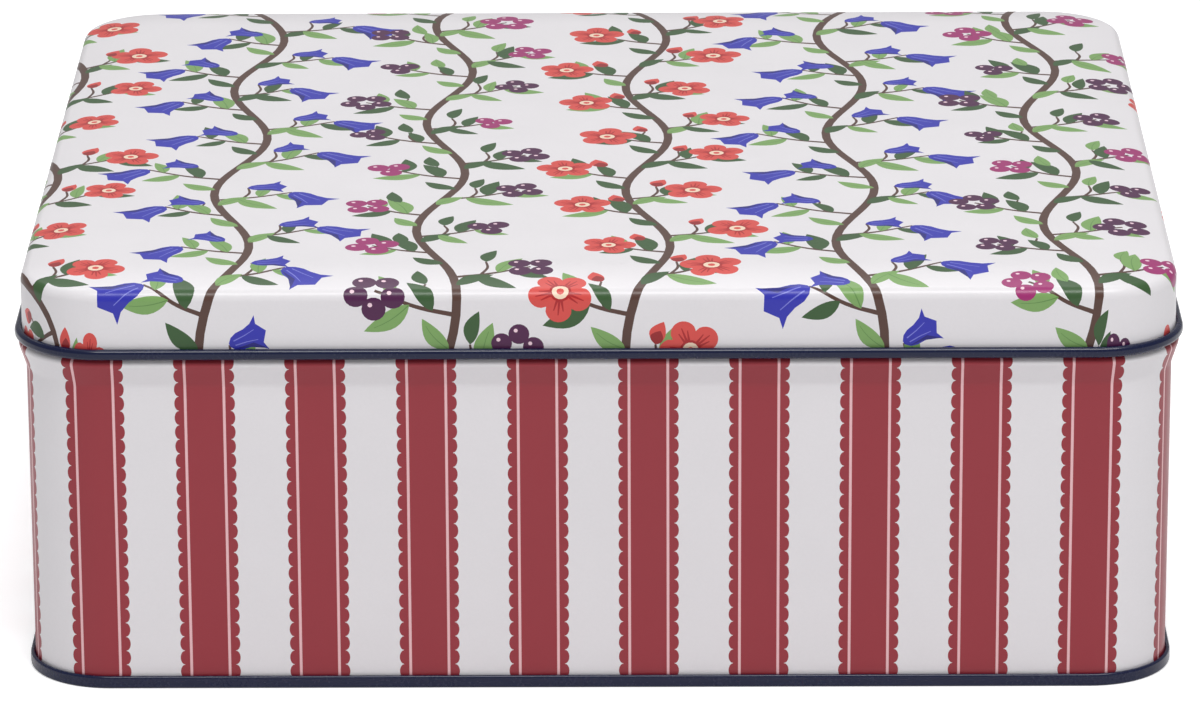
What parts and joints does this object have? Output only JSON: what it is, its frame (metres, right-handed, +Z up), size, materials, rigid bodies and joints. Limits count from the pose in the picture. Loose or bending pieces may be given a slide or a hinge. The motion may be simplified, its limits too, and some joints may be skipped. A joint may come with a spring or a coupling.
{
  "type": "rectangular tin box",
  "caption": "Rectangular printed tinplate box with rounded corners, a seamed-on base and a lift-off slip lid with a rolled hem.",
  "frame": {"origin": "on the ground, below the middle of the box", "axes": "+X along the longer side, +Y towards the rear wall with the lock seam, +Z up along the lid's lift"},
  "size_m": [0.2598, 0.2304, 0.0945],
  "materials": {
    "striped_tinplate": "gloss",
    "navy_tinplate": "gloss",
    "floral_tinplate": "gloss"
  },
  "bodies": {
    "box": {"body_wall": "striped_tinplate", "base_panel": "navy_tinplate"},
    "lid": {"lid": "floral_tinplate"}
  },
  "joints": [
    {"name": "lid_lift", "type": "slide", "parent": "box", "child": "lid", "axis": [0, 0, 1], "range_m": [0, 0.06]}
  ]
}
